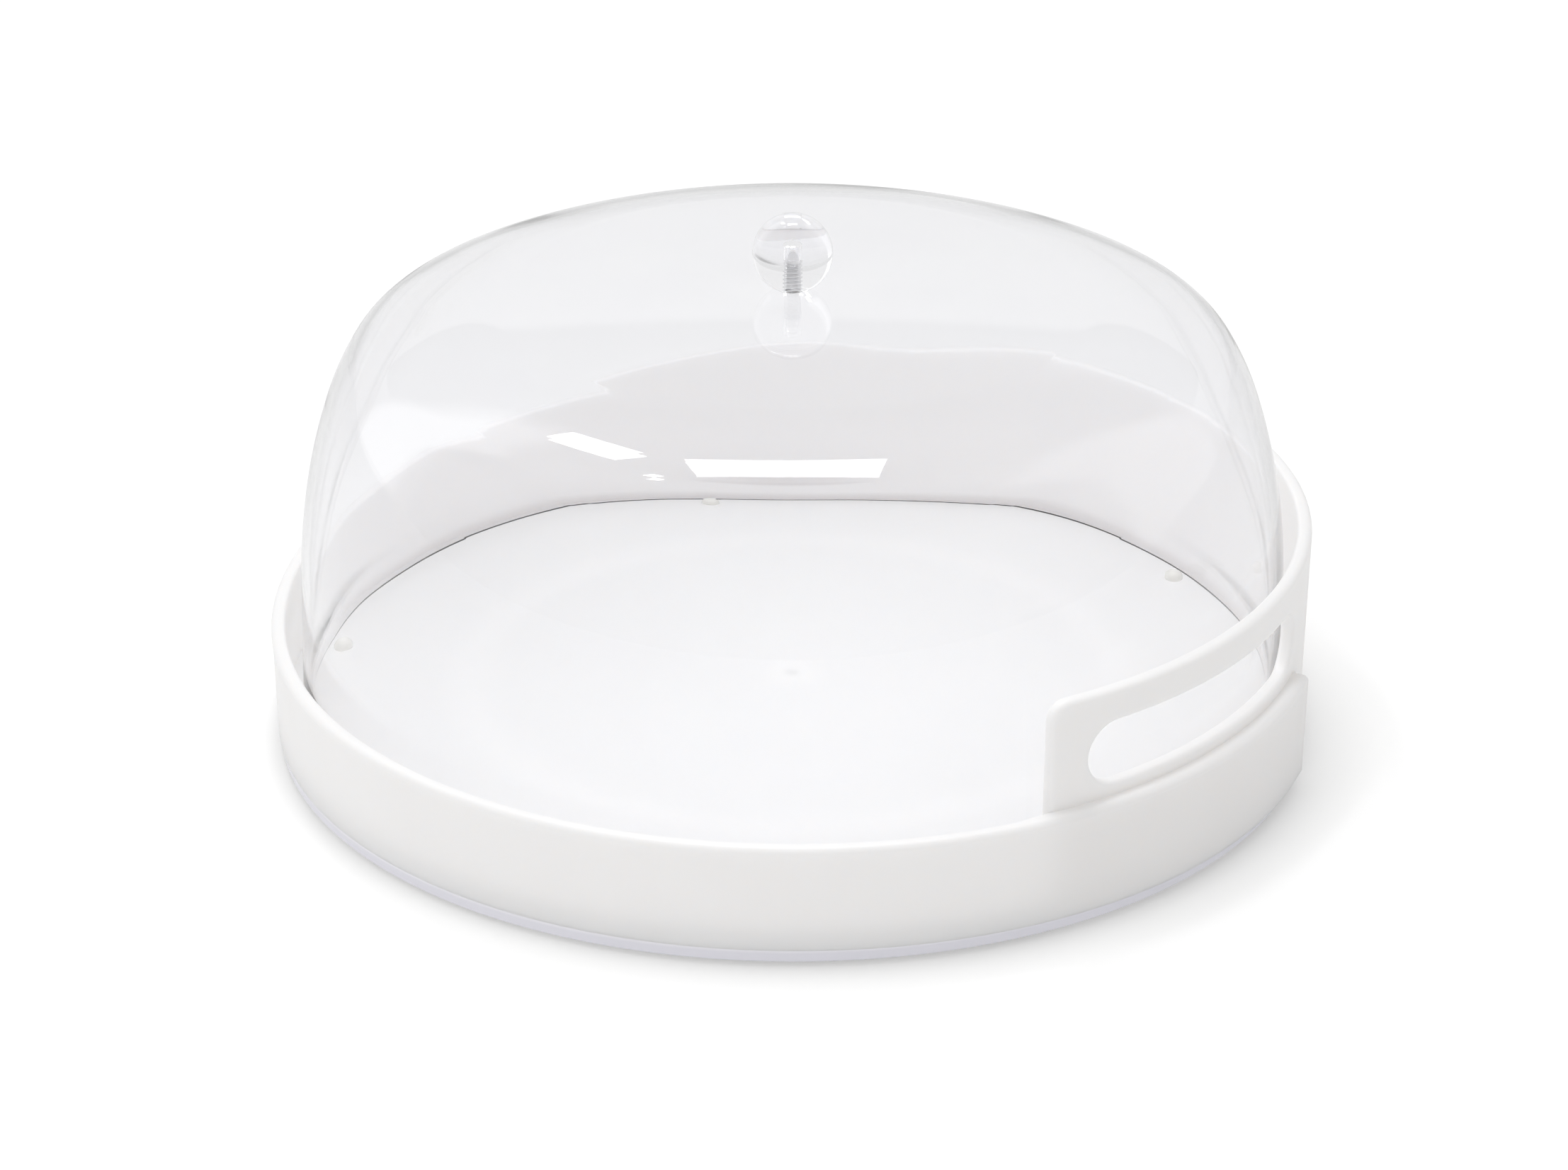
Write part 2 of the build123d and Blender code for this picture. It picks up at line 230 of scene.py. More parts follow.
class FinishColours(bpy.types.PropertyGroup):
    """Colours of the materials."""

    tray_white: tint("Tray white", "Colour of the moulded white plastic", (0.925, 0.916, 0.911))
    tray_shade: tint("Tray shade", "Colour of its faint mottling", (0.905, 0.895, 0.889))
    acrylic: tint("Clear acrylic", "Colour of the clear plastic", (0.985, 0.985, 0.992))
    acrylic_deep: tint("Clear acrylic, deep", "Colour of its faint streaks", (0.972, 0.972, 0.986))
    # Painted shade at the dome's foot: darker acrylic where the gap between the foot and the tray wall lies
    # in shade, partly the edge's own deeper look
    acrylic_foot_shade: tint("Clear acrylic, edge", "Colour of the dome's foot", (0.88, 0.86, 0.86))
    base_clear: tint("Base rim", "Colour of the clear base's rim", (0.90, 0.895, 0.925))
    # The plate's colour is partly a deeper tint and partly painted shade; rim and plate colours also shine
    # as a painted glow
    base_plate_tint_and_shade: tint("Base plate", "Colour of the edge of the base's plate", (0.74, 0.735, 0.785))
    silicone: tint("Bumpers", "Colour of the soft bumpers", (0.93, 0.92, 0.88))
    steel: tint("Steel", "Colour of the balls and the stud", (0.86, 0.86, 0.87))
    zinc: tint("Zinc", "Colour of the screw and the washer", (0.60, 0.61, 0.63))
    nylon: tint("Nylon", "Colour of the cage", (0.80, 0.80, 0.78))
    rubber: tint("Rubber", "Colour of the feet", (0.52, 0.52, 0.52))


class StageSettings(bpy.types.PropertyGroup):
    """Camera, floor and light of the studio."""

    camera_distance: length("Camera distance", "From the camera to what it looks at", 1.3)
    camera_elevation: angle("Camera elevation", "Height of the view above the horizon", 24.8)
    target: FloatVectorProperty(
        name="Target",
        description="Point that the camera looks at",
        default=(-0.00265, 0.0, 0.0443),
        subtype="XYZ",
    )
    lens: number("Lens", "Focal length in millimetres", 93.4)
    floor_size: length("Floor size", "Side of the floor", 24.0)
    floor_white: tint("Floor", "Colour of the floor", (0.93, 0.93, 0.93))
    floor_lift: number("Floor lift", "Light that the floor shows of its own", 0.21)
    floor_lift_in_glass: number("Floor lift in glass", "The same, as glass and metal show it", 0.03)
    fill_left: number("Left fill", "Strength of the even light from the left", 0.82)
    fill_right: number("Right fill", "Strength of the even light from the right", 0.57)
    fill_low: number("Low fill", "Share of the even light near the horizon", 0.78)
    fill_high: number("High fill", "Share of the even light from above", 1.22)
    sky_light: number("Sky", "Strength of the sky that glass and metal mirror", 0.32)
    sky_low_light: number("Low sky", "The same, just above the backdrop", 0.56)
    refracted_light: number("Refracted", "Strength of the world seen through glass", 0.86)
    backdrop_light: number("Backdrop", "Strength of the low backdrop", 0.86)
    left_light: number("Left screen", "Strength of the screen on the left", 1.25)
    right_light: number("Right screen", "Strength of the screen on the right", 1.0)


def deselect():
    """Leave edit mode and select nothing, so that an operator acts on new geometry alone."""
    if bpy.context.object and bpy.context.object.mode != "OBJECT":
        bpy.ops.object.mode_set(mode="OBJECT")
    bpy.ops.object.select_all(action="DESELECT")


def pick(piece):
    """Make one object the active one and the only one selected."""
    deselect()
    piece.hide_set(False)
    piece.select_set(True)
    bpy.context.view_layer.objects.active = piece


def draw_line(name, points):
    """A new object with one line through the points, drawn by extruding a vertex from point to point."""
    deselect()
    bpy.ops.mesh.primitive_plane_add(size=TINY, location=points[0])
    piece = bpy.context.object
    piece.name = piece.data.name = name
    bpy.ops.object.mode_set(mode="EDIT")
    bpy.ops.mesh.select_mode(type="VERT")
    bpy.ops.mesh.select_all(action="SELECT")
    bpy.ops.mesh.merge(type="CENTER")
    for start, end in zip(points, points[1:]):
        step = Vector(end) - Vector(start)
        bpy.ops.mesh.extrude_region_move(TRANSFORM_OT_translate={"value": step})
    return piece


def settle(piece):
    """Merge doubles, point the faces outwards and put the piece's place into its mesh."""
    pick(piece)
    bpy.ops.object.mode_set(mode="EDIT")
    bpy.ops.mesh.select_all(action="SELECT")
    bpy.ops.mesh.remove_doubles(threshold=TINY)
    bpy.ops.mesh.dissolve_degenerate(threshold=TINY / 10)
    bpy.ops.mesh.normals_make_consistent(inside=False)
    bpy.ops.object.mode_set(mode="OBJECT")
    bpy.ops.object.transform_apply(location=True, rotation=True, scale=True)


def lathe(name, outline, steps, centre=(0.0, 0.0)):
    """Spin an outline of (radius, level) points round an upright axis."""
    x, y = centre
    piece = draw_line(name, [(x + r, y, z) for r, z in outline])
    bpy.ops.mesh.select_all(action="SELECT")
    upright = (0.0, 0.0, 1.0)
    bpy.ops.mesh.spin(steps=steps, angle=2 * pi, center=(x, y, 0.0), axis=upright, use_auto_merge=True)
    settle(piece)
    return piece


def smooth(piece, crease=35.0):
    """Shade a piece smooth, apart from edges sharper than a crease in degrees."""
    pick(piece)
    bpy.ops.object.shade_smooth_by_angle(angle=radians(crease))


def finish_piece(piece, material, body, slot, *nodes):
    """Give a piece its material, the body that it rides on and the solids that it stands for."""
    piece.data.materials.clear()
    piece.data.materials.append(material)
    piece.visible_diffuse = material.name not in CLEAR_FINISHES
    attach(piece, body)
    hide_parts(*nodes)
    deselect()


def join(name, pieces):
    """Join several objects into one."""
    pick(pieces[0])
    for piece in pieces:
        piece.select_set(True)
    if len(pieces) > 1:
        bpy.ops.object.join()
    pieces[0].name = pieces[0].data.name = name
    return pieces[0]


def copies_at(model, places):
    """Copy a model that stands at the origin to each place, every copy with its own mesh."""
    made = []
    for place in places:
        pick(model)
        bpy.ops.object.duplicate()
        copy = bpy.context.object
        copy.location = (place[0], place[1], 0.0)
        pick(copy)
        bpy.ops.object.transform_apply(location=True, rotation=False, scale=False)
        made.append(copy)
    bpy.data.objects.remove(model)
    return made


def boolean(piece, tool, operation, overlapping=False):
    """Cut a tool out of a piece, or fuse it on, and remove the tool. A piece may overlap itself."""
    pick(piece)
    change = piece.modifiers.new(operation.title(), "BOOLEAN")
    change.operation = operation
    change.solver = "EXACT"
    change.use_self = overlapping
    change.object = tool
    bpy.ops.object.modifier_apply(modifier=change.name)
    bpy.data.objects.remove(tool)
    if not piece.data.polygons:
        raise RuntimeError(f"{operation} left nothing of {piece.name}")


def arc(centre, radius, start, end, step):
    """Points on an arc of an outline, angles in degrees from the radius, without its first point."""
    count = max(1, ceil(abs(end - start) / step))
    turns = [radians(start + (end - start) * i / count) for i in range(1, count + 1)]
    return [(centre[0] + radius * cos(t), centre[1] + radius * sin(t)) for t in turns]


def ring_corner(radius, level, rounding, start, step):
    """Points of a rounded corner of an outline: a quarter turn on from a start, angles in degrees."""
    across = 1.0 if start in (-90.0, 0.0) else -1.0
    up = 1.0 if start in (0.0, 90.0) else -1.0
    centre = (radius - across * rounding, level - up * rounding)
    first = (centre[0], level) if start in (-90.0, 90.0) else (radius, centre[1])
    return [first, *arc(centre, rounding, start, start + 90.0, step)]


def island_places(node):
    """Middle, in plan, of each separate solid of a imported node, from left to right."""
    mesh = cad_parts[node].data
    keys = [tuple(round(c, 6) for c in v.co) for v in mesh.vertices]
    parent = {key: key for key in keys}

    def root(key):
        while parent[key] != key:
            parent[key] = parent[parent[key]]
            key = parent[key]
        return key

    for face in mesh.polygons:
        first, *rest = (keys[i] for i in face.vertices)
        for other in rest:
            parent[root(other)] = root(first)
    groups = {}
    for key in parent:
        groups.setdefault(root(key), []).append(key)
    places = []
    for points in groups.values():
        low = [min(p[i] for p in points) for i in (0, 1)]
        high = [max(p[i] for p in points) for i in (0, 1)]
        places.append(((low[0] + high[0]) / 2, (low[1] + high[1]) / 2))
    return sorted(places)


def ease(x):
    """A smooth step from 0 to 1."""
    x = min(max(x, 0.0), 1.0)
    return x * x * (3.0 - 2.0 * x)


def mould_texture():
    """Node group: the soft mottling, grain and long ripples of moulded plastic."""
    name = "Mould texture"
    if name in bpy.data.node_groups:
        return bpy.data.node_groups[name]
    group = bpy.data.node_groups.new(name, "ShaderNodeTree")
    for socket, default in (("Mottle Scale", 30.0), ("Grain Scale", 2500.0), ("Ripple Scale", 25.0)):
        scale = group.interface.new_socket(socket, in_out="INPUT", socket_type="NodeSocketFloat")
        scale.default_value = default
    for socket in ("Mottle", "Grain", "Ripple"):
        group.interface.new_socket(socket, in_out="OUTPUT", socket_type="NodeSocketFloat")
    nodes, links = group.nodes, group.links
    start = nodes.new("NodeGroupInput")
    end = nodes.new("NodeGroupOutput")
    place = nodes.new("ShaderNodeTexCoord")
    for socket, detail in (("Mottle", 3.0), ("Grain", 2.0), ("Ripple", 1.0)):
        cloud = nodes.new("ShaderNodeTexNoise")
        cloud.inputs["Detail"].default_value = detail
        links.new(place.outputs["Object"], cloud.inputs["Vector"])
        links.new(start.outputs[socket + " Scale"], cloud.inputs["Scale"])
        links.new(cloud.outputs["Fac"], end.inputs[socket])
    return group


def new_material(name):
    """A plain node material: the material, its tree, its Principled shader and its output."""
    material = bpy.data.materials.new(name)
    material.use_nodes = True
    tree = material.node_tree
    return material, tree, tree.nodes["Principled BSDF"], tree.nodes["Material Output"]


def textured_material(name):
    """A node material with the mould texture: material, tree, shader, output and texture node."""
    made = new_material(name)
    texture = made[1].nodes.new("ShaderNodeGroup")
    texture.node_tree = mould_texture()
    return *made, texture


def darker(colour, share):
    """A colour at a share of its brightness."""
    return [c * share for c in colour]


def mix_colours(tree, factor, first, second):
    """A node that mixes two colours by a factor socket."""
    mix = tree.nodes.new("ShaderNodeMix")
    mix.data_type = "RGBA"
    mix.inputs["A"].default_value = (*first, 1.0)
    mix.inputs["B"].default_value = (*second, 1.0)
    tree.links.new(factor, mix.inputs["Factor"])
    return mix.outputs["Result"]


def ramp(tree, value, start, end, low, high, kind="SMOOTHSTEP"):
    """A node that takes a value from one range to another, smoothly unless told otherwise."""
    ranged = tree.nodes.new("ShaderNodeMapRange")
    ranged.interpolation_type = kind
    limits = {"From Min": start, "From Max": end, "To Min": low, "To Max": high}
    for socket, limit in limits.items():
        ranged.inputs[socket].default_value = limit
    tree.links.new(value, ranged.inputs["Value"])
    return ranged.outputs["Result"]


def spread(tree, value, limits):
    """A node that spreads a noise value evenly over the range between two limits."""
    return ramp(tree, value, *NOISE_RANGE, *limits, kind="LINEAR")


def maths(tree, operation, first, second):
    """A Math node of two sockets, or of a socket and a number."""
    node = tree.nodes.new("ShaderNodeMath")
    node.operation = operation
    for socket, value in zip(node.inputs, (first, second)):
        if isinstance(value, (int, float)):
            socket.default_value = value
        else:
            tree.links.new(value, socket)
    return node.outputs["Value"]


def product(tree, first, *others):
    """A chain of Math nodes that multiplies sockets or numbers."""
    for other in others:
        first = maths(tree, "MULTIPLY", first, other)
    return first


def bumped(tree, shader, height, strength, distance):
    """Roughen a shader's normal by a height."""
    bump = tree.nodes.new("ShaderNodeBump")
    bump.inputs["Strength"].default_value = strength
    bump.inputs["Distance"].default_value = distance
    tree.links.new(height, bump.inputs["Height"])
    tree.links.new(bump.outputs["Normal"], shader.inputs["Normal"])


def moulded_plastic(name, colour, shade, roughness, grain):
    """An opaque moulded plastic with faint mottling and a fine grain."""
    material, tree, shader, _, texture = textured_material(name)
    tree.links.new(mix_colours(tree, texture.outputs["Mottle"], colour, shade), shader.inputs["Base Color"])
    tree.links.new(spread(tree, texture.outputs["Mottle"], roughness), shader.inputs["Roughness"])
    bumped(tree, shader, texture.outputs["Grain"], grain, GRAIN_DEPTH)
    return material


def height_mask(tree, low, high):
    """A node chain that goes smoothly from 0 at one level of an object to 1 at another."""
    place = tree.nodes.new("ShaderNodeTexCoord")
    split = tree.nodes.new("ShaderNodeSeparateXYZ")
    tree.links.new(place.outputs["Object"], split.inputs["Vector"])
    return ramp(tree, split.outputs["Z"], low, high, 0.0, 1.0)


def multiply_colours(tree, first, second):
    """A node that multiplies two colour sockets."""
    both = tree.nodes.new("ShaderNodeMix")
    both.data_type = "RGBA"
    both.blend_type = "MULTIPLY"
    both.inputs["Factor"].default_value = 1.0
    tree.links.new(first, both.inputs["A"])
    tree.links.new(second, both.inputs["B"])
    return both.outputs["Result"]


def clear_plastic(name, colour, deep, ripple):
    """A clear polished plastic with faint streaks, which lets the lamps' light through."""
    material, tree, shader, output, texture = textured_material(name)
    tree.links.new(mix_colours(tree, texture.outputs["Mottle"], colour, deep), shader.inputs["Base Color"])
    shader.inputs["Roughness"].default_value = 0.0
    shader.inputs["IOR"].default_value = ACRYLIC_IOR
    shader.inputs["Transmission Weight"].default_value = 1.0
    bumped(tree, shader, texture.outputs["Ripple"], ripple, RIPPLE_DEPTH)
    path = tree.nodes.new("ShaderNodeLightPath")
    through = tree.nodes.new("ShaderNodeBsdfTransparent")
    through.inputs["Color"].default_value = (*colour, 1.0)
    mix = tree.nodes.new("ShaderNodeMixShader")
    tree.links.new(path.outputs["Is Shadow Ray"], mix.inputs["Fac"])
    tree.links.new(shader.outputs["BSDF"], mix.inputs[1])
    tree.links.new(through.outputs["BSDF"], mix.inputs[2])
    tree.links.new(mix.outputs["Shader"], output.inputs["Surface"])
    return material


def painted_glow_plastic(name, colour, deep, low, high):
    """A clear plastic with a painted glow: its colour also shines as emission, pale at the top of its rim
    and darker at its plate, partly a deeper tint and partly painted shade.
    """
    material, tree, shader, _, texture = textured_material(name)
    # Darker towards the plate: partly the deeper tint of the thicker acrylic, partly painted shade under the
    # tray's overhanging wall
    shaded_tone = mix_colours(tree, height_mask(tree, low, high), deep, colour)
    faint = mix_colours(tree, texture.outputs["Mottle"], (0.97, 0.97, 0.98), WHITE)
    both = multiply_colours(tree, shaded_tone, faint)
    tree.links.new(both, shader.inputs["Base Color"])
    shader.inputs["Roughness"].default_value = 0.06
    shader.inputs["IOR"].default_value = ACRYLIC_IOR
    shader.inputs["Transmission Weight"].default_value = 0.2
    # Painted glow: the base's colour shines as emission, standing in for light gathered along the acrylic to
    # its edge, though the base is no lamp
    tree.links.new(both, shader.inputs["Emission Color"])
    shader.inputs["Emission Strength"].default_value = 0.25
    bumped(tree, shader, texture.outputs["Ripple"], strength=0.02, distance=RIPPLE_DEPTH)
    return material


def bright_metal(name, colour, roughness):
    """A metal with faint streaks in its polish."""
    material, tree, shader, _, texture = textured_material(name)
    texture.inputs["Mottle Scale"].default_value = 400.0
    streak = darker(colour, 0.85)
    tree.links.new(mix_colours(tree, texture.outputs["Mottle"], colour, streak), shader.inputs["Base Color"])
    shader.inputs["Metallic"].default_value = 1.0
    tree.links.new(spread(tree, texture.outputs["Mottle"], roughness), shader.inputs["Roughness"])
    return material


def wall_turn(tray):
    """Whole turn of the wall, in degrees."""
    return FULL_TURN + degrees(tray.wall_overlap)


def spiral_radius(tray, turn):
    """Radius of the wall's outer face at its foot, a turn in degrees along the wall."""
    return tray.wall_start_radius - tray.wall_pitch * turn / FULL_TURN


def rim_height(tray, turn):
    """Height of the wall above its foot: low, then a smooth ramp, then high."""
    climbed = min(max((turn - degrees(tray.ramp_start)) / degrees(tray.ramp_length), 0.0), 1.0)
    return tray.rim_low + (tray.rim_high - tray.rim_low) * (1.0 - cos(pi * climbed)) / 2.0


def slot_turn(tray):
    """Turn along the wall of the middle of its grip slot, in degrees."""
    return degrees(tray.wall_start_angle) - degrees(tray.slot_angle) + FULL_TURN


def select_edges(piece, wanted):
    """In edit mode, select the sharp edges whose middle is wanted."""
    bpy.ops.mesh.select_mode(type="EDGE")
    bpy.ops.mesh.select_all(action="DESELECT")
    bpy.ops.mesh.edges_select_sharp(sharpness=radians(60.0))
    bpy.ops.object.mode_set(mode="OBJECT")
    points = [v.co.copy() for v in piece.data.vertices]
    chosen = []
    for edge in piece.data.edges:
        first, last = (points[i] for i in edge.vertices)
        chosen.append(edge.select and wanted((first + last) / 2))
    for group in (piece.data.vertices, piece.data.edges, piece.data.polygons):
        group.foreach_set("select", [False] * len(group))
    piece.data.edges.foreach_set("select", chosen)
    bpy.ops.object.mode_set(mode="EDIT")


def flat_wall(tray, per_degree):
    """The wall laid out straight: X along it, Y from its inner face to its outer face, Z up."""
    long, tall, thick = wall_turn(tray) * per_degree, tray.rim_high, tray.wall_thickness
    corners = [(0, 0, 0), (long, 0, 0), (long, 0, tall), (0, 0, tall)]
    strip = draw_line("tray", corners)
    bpy.ops.mesh.select_all(action="SELECT")
    bpy.ops.mesh.edge_face_add()
    for x, radius in ((0.0, tray.low_corner), (long, tray.high_corner)):
        bpy.ops.mesh.select_all(action="DESELECT")
        bpy.ops.object.mode_set(mode="OBJECT")
        for vertex in strip.data.vertices:
            at = strip.matrix_world @ vertex.co
            vertex.select = abs(at.x - x) < NEAR and at.z > tall - NEAR
        bpy.ops.object.mode_set(mode="EDIT")
        bpy.ops.mesh.bevel(offset=radius, segments=8, affect="VERTICES")
    bpy.ops.mesh.select_all(action="SELECT")
    bpy.ops.mesh.extrude_region_move(TRANSFORM_OT_translate={"value": (0, thick, 0)})
    settle(strip)

    middle = slot_turn(tray) * per_degree
    level = tray.slot_level - tray.wall_foot
    half_long, half_tall = tray.slot_length / 2 - tray.slot_height / 2, tray.slot_height / 2
    ends = [(middle + half_long, -90.0), (middle - half_long, 90.0)]
    outline = []
    for x, start in ends:
        turns = [radians(start + t) for t in range(0, 181, 9)]
        outline += [(x + half_tall * cos(t), level + half_tall * sin(t)) for t in turns]
    cutter = draw_line("slot_cutter", [(x, -thick, z) for x, z in outline])
    bpy.ops.mesh.select_all(action="SELECT")
    bpy.ops.mesh.edge_face_add()
    bpy.ops.mesh.extrude_region_move(TRANSFORM_OT_translate={"value": (0, 3 * thick, 0)})
    settle(cutter)
    boolean(strip, cutter, "DIFFERENCE")

    reach = tray.slot_length / 2 + NEAR

    def in_slot(p):
        return abs(p.x - middle) < reach and abs(p.z - level) < half_tall + NEAR

    def on_inner_edge(p):
        above = tall / 2 if p.x < long / 2 else NEAR
        return p.y < thick / 2 and not in_slot(p) and p.z > above

    def on_outer_edge(p):
        return p.y > thick / 2 and not in_slot(p) and p.z > NEAR

    pick(strip)
    bpy.ops.object.mode_set(mode="EDIT")
    rounds = (
        (in_slot, tray.slot_round, 4),
        (on_inner_edge, tray.rim_inner_round, 4),
        (on_outer_edge, tray.rim_round, 6),
    )
    for wanted, size, segments in rounds:
        select_edges(strip, wanted)
        bpy.ops.mesh.bevel(offset=size, segments=segments, affect="EDGES", clamp_overlap=False)

    rows = [tray.rim_band, tray.bead_depth + BEAD_STEP, tray.bead_depth]
    rows += [tray.rim_round + (tray.bead_depth - tray.rim_round) * i / 3 for i in range(3)]
    cuts = [((0, 0, tall - depth), (0, 0, 1)) for depth in rows]
    cuts += [((long * i / tray.columns, 0, 0), (1, 0, 0)) for i in range(1, tray.columns)]
    for point, normal in cuts:
        bpy.ops.mesh.select_all(action="SELECT")
        bpy.ops.mesh.bisect(plane_co=point, plane_no=normal)
    bpy.ops.object.mode_set(mode="OBJECT")
    return strip


def bead_out(tray, depth):
    """How far the rim's bead stands out of the wall below it, a depth below the rim's top."""
    tuck = 0.55
    if depth > tray.bead_depth + BEAD_STEP / 2:
        return 0.0
    if depth <= tray.rim_round:
        return tray.bead_bulge * sin(pi / 2 * depth / tray.rim_round)
    under = (depth - tray.rim_round) / (tray.bead_depth - tray.rim_round)
    return tray.bead_bulge * (1.0 - tuck * under * under)


def wind_wall(tray, strip, per_degree):
    """Wind the straight wall into its spiral, draw its rim down where it is low and close its overlap."""
    bead_growth, bead_fade_start, bead_fade = 0.006, 300.0, 40.0
    seam, seam_fade = tray.wall_pitch - tray.wall_thickness + tray.seam_bite, 4.0
    for vertex in strip.data.vertices:
        x, y, z = vertex.co
        turn = x / per_degree
        height = rim_height(tray, turn)
        depth = tray.rim_high - z
        in_overlap = 1.0 - ease((turn - degrees(tray.wall_overlap)) / seam_fade)
        if y < tray.rim_inner_round:
            depth = max(0.0, depth - tray.rim_inner_round * in_overlap)
        if depth <= tray.rim_band:
            up = height - depth
        else:
            up = z * (height - tray.rim_band) / (tray.rim_high - tray.rim_band)
        faded = 1.0 - ease((turn - bead_fade_start) / bead_fade)
        bead = (bead_out(tray, depth) - tray.bead_bulge) * faded
        bead *= ease(x / bead_growth) * y / tray.wall_thickness
        close = seam * in_overlap * (1.0 - y / tray.wall_thickness)
        lean = up * tan(tray.wall_draft)
        radius = spiral_radius(tray, turn) - tray.wall_thickness + y + bead - close + lean
        around = tray.wall_start_angle - radians(turn)
        vertex.co = (radius * cos(around), radius * sin(around), tray.wall_foot + up)


def race_sizes(tray, base):
    """Level of the balls' middle, reach of a groove from it, and half the width of a race's ring."""
    level = (ball_low.z + ball_high.z) / 2
    return level, base.ball_radius + tray.race_clearance, tray.race_width / 2


def race_groove(ball_level, reach, radius, lip_level):
    """Outline points of a round groove for the balls, from its inner lip to its outer lip."""
    side = -1.0 if lip_level < ball_level else 1.0
    half = acos(abs(lip_level - ball_level) / reach)
    count = 14
    turns = [-half + 2 * half * i / count for i in range(count + 1)]
    return [(radius + reach * sin(t), ball_level + side * reach * cos(t)) for t in turns]


class TURNTABLE_OT_tray(bpy.types.Operator):
    """Add the white tray: a floor on a race and a pivot, inside a wall wound as a rising spiral"""

    bl_idname = "turntable.tray"
    bl_label = "Tray"

    def execute(self, context):
        tray, base, colours = context.scene.tt_tray, context.scene.tt_base, context.scene.tt_colours
        per_degree = radians(spiral_radius(tray, slot_turn(tray)) - tray.wall_thickness / 2)
        wall = flat_wall(tray, per_degree)
        wind_wall(tray, wall, per_degree)
        settle(wall)

        floor_top = dome_low.z
        floor_bottom = floor_top - tray.floor_thickness
        ball_level, reach, half_race = race_sizes(tray, base)
        lip = ball_level + reach - tray.race_depth
        edge = spiral_radius(tray, 0.0)
        outline = [
            (0.0, tray.screw_hole_top),
            (tray.screw_hole_radius, tray.screw_hole_top),
            (tray.screw_hole_radius, tray_low.z),
            (tray.spigot_radius, tray_low.z),
            (tray.spigot_radius, tray.boss_bottom),
            (tray.boss_radius, tray.boss_bottom),
            (tray.boss_radius, floor_bottom),
            (tray.race_radius - half_race, floor_bottom),
            (tray.race_radius - half_race, lip),
            *race_groove(ball_level, reach, tray.race_radius, lip),
            (tray.race_radius + half_race, lip),
            (tray.race_radius + half_race, floor_bottom),
            (edge, floor_bottom),
            (edge, floor_top),
            (0.0, floor_top),
        ]
        floor = lathe("tray_floor", outline, tray.columns)
        for vertex in floor.data.vertices:
            x, y, z = vertex.co
            if hypot(x, y) > edge - NEAR:
                around = Vector((x, y)).angle_signed(Vector((1.0, 0.0)))
                turn = (degrees(tray.wall_start_angle) - degrees(around)) % FULL_TURN
                inner = spiral_radius(tray, turn) - tray.wall_thickness / 2
                vertex.co = (inner * cos(around), inner * sin(around), z)
        boolean(wall, floor, "UNION", overlapping=True)
        settle(wall)
        smooth(wall)
        plastic = moulded_plastic(
            "white plastic", colours.tray_white, colours.tray_shade, roughness=(0.30, 0.38), grain=0.05
        )
        opal = plastic.node_tree.nodes["Principled BSDF"].inputs
        opal["Subsurface Weight"].default_value = 0.85
        opal["Subsurface Radius"].default_value = (1.0, 0.95, 0.9)
        opal["Subsurface Scale"].default_value = 0.005
        finish_piece(wall, plastic, "turntable", "white_plastic", "tray")
        return {"FINISHED"}


def dome_outline(dome, inset):
    """Outline of the dome from its foot to its axis, drawn in by an inset."""
    side_rows, crown_rows, tight_arc = 9, 12, 0.03
    radius = dome_high.x - inset / cos(dome.side_draft)
    points = []
    for i in range(side_rows + 1):
        up = dome.side_height * i / side_rows
        points.append((radius - up * tan(dome.side_draft), dome_low.z + up))
    slope = degrees(dome.side_draft)
    arcs = (
        (dome.flank_radius, dome.flank_end),
        (dome.haunch_radius, dome.haunch_end),
        (dome.shoulder_radius, dome.shoulder_end),
        (dome.brow_radius, dome.brow_end),
    )
    step = degrees(dome.arc_step)
    for size, end in arcs:
        size -= inset
        centre = (points[-1][0] - size * cos(radians(slope)), points[-1][1] - size * sin(radians(slope)))
        points += arc(centre, size, slope, degrees(end), step if size > tight_arc else 3 * step)
        slope = degrees(end)
    size = points[-1][0] / cos(radians(slope))
    centre = (0.0, points[-1][1] - size * sin(radians(slope)))
    return points + arc(centre, size, slope, 90.0, (90.0 - slope) / crown_rows)


